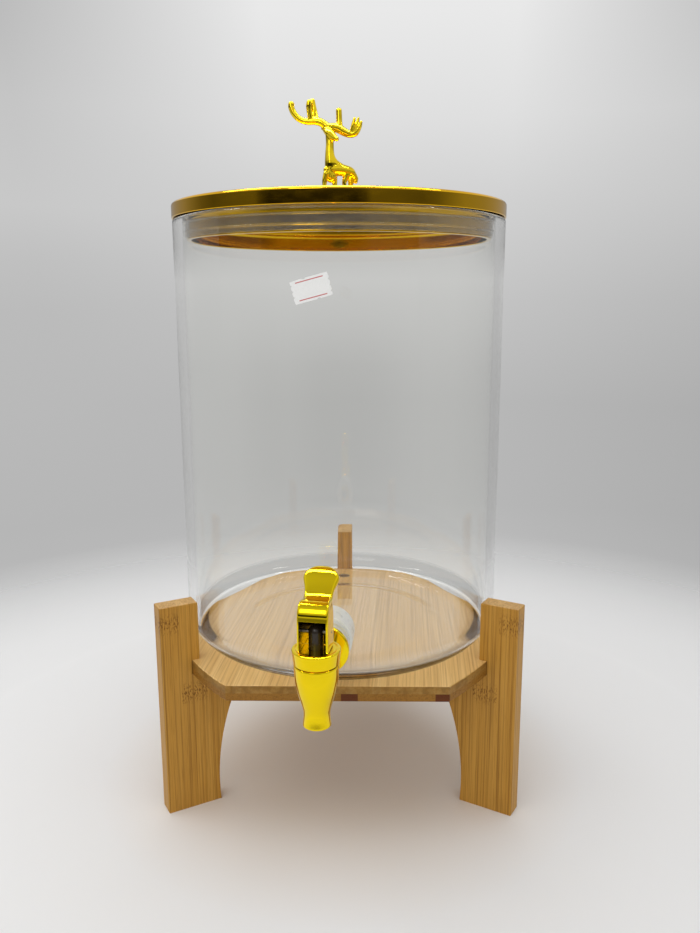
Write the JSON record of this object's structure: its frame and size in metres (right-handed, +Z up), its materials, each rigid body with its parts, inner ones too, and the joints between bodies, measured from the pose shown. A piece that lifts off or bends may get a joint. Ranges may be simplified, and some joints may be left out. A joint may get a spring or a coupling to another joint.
{
  "type": "beverage dispenser",
  "caption": "Clear glass drinks jar with a gold lid, a deer-shaped knob and a gold lever tap, on a legged bamboo stand.",
  "frame": {"origin": "centre of the stand on the surface it stands on, on the jar's axis", "axes": "+Z up along the jar's axis, -Y towards the front, where the tap points, +X to the right seen from the front"},
  "size_m": [0.2354, 0.2882, 0.4509],
  "materials": {
    "bamboo_board": "sanded, light bamboo, clear coat",
    "bamboo_leg": "sanded, honey bamboo, clear coat",
    "clear_glass": "clear",
    "label_film": "matt",
    "tap_gold": "gold plated, bright",
    "lid_gold": "gold plated, bright",
    "knob_gold": "gold plated, bright",
    "core_board": "raw",
    "silicone": "translucent",
    "white_rubber": "matt",
    "dark_rubber": "matt",
    "white_plastic": "satin",
    "stem_plastic": "satin",
    "spring_steel": "bright",
    "zinc_steel": "zinc plated"
  },
  "bodies": {
    "stand": {"stand_top_ply": "bamboo_board", "stand_bottom_ply": "bamboo_board", "leg_left": "bamboo_leg", "leg_right": "bamboo_leg", "leg_back": "bamboo_leg", "leg_screws": "zinc_steel"},
    "jar": {"glass_jar": "clear_glass", "price_label": "label_film", "tap_body": "tap_gold", "tap_bonnet": "tap_gold", "bonnet_gasket": "dark_rubber", "outer_washer": "white_rubber", "inner_washer": "white_rubber", "tap_nut": "white_plastic", "valve_spring": "spring_steel"},
    "stem": {"valve_stem": "stem_plastic", "valve_seal": "dark_rubber"},
    "lever": {"tap_lever": "tap_gold", "lever_pin": "zinc_steel"},
    "lid": {"lid_cap": "lid_gold", "lid_core": "core_board", "lid_pan": "lid_gold", "lid_seal": "silicone", "deer_knob": "knob_gold", "lid_screw": "zinc_steel", "lid_screw_washer": "zinc_steel"}
  },
  "joints": [
    {"name": "jar_lift", "type": "slide", "parent": "stand", "child": "jar", "axis": [0, 0, 1], "range_m": [0, 0.15]},
    {"name": "lid_lift", "type": "slide", "parent": "jar", "child": "lid", "axis": [0, 0, 1], "range_m": [0, 0.15]},
    {"name": "stem_lift", "type": "slide", "parent": "jar", "child": "stem", "axis": [0, 0, 1], "range_m": [0, 0.0033], "deforming": ["valve_spring"]},
    {"name": "lever_tilt", "type": "hinge", "parent": "stem", "child": "lever", "pos_m": [0, -0.144, 0.157], "axis": [0.9954, -0.0958, 0], "range_deg": [0, 40], "stiffness_Nm_per_rad": 0.0188, "springref_deg": -57.3}
  ],
  "couplings": [
    {"joint": "lever_tilt", "follows": "stem_lift", "rad_per_m": 210.5}
  ]
}
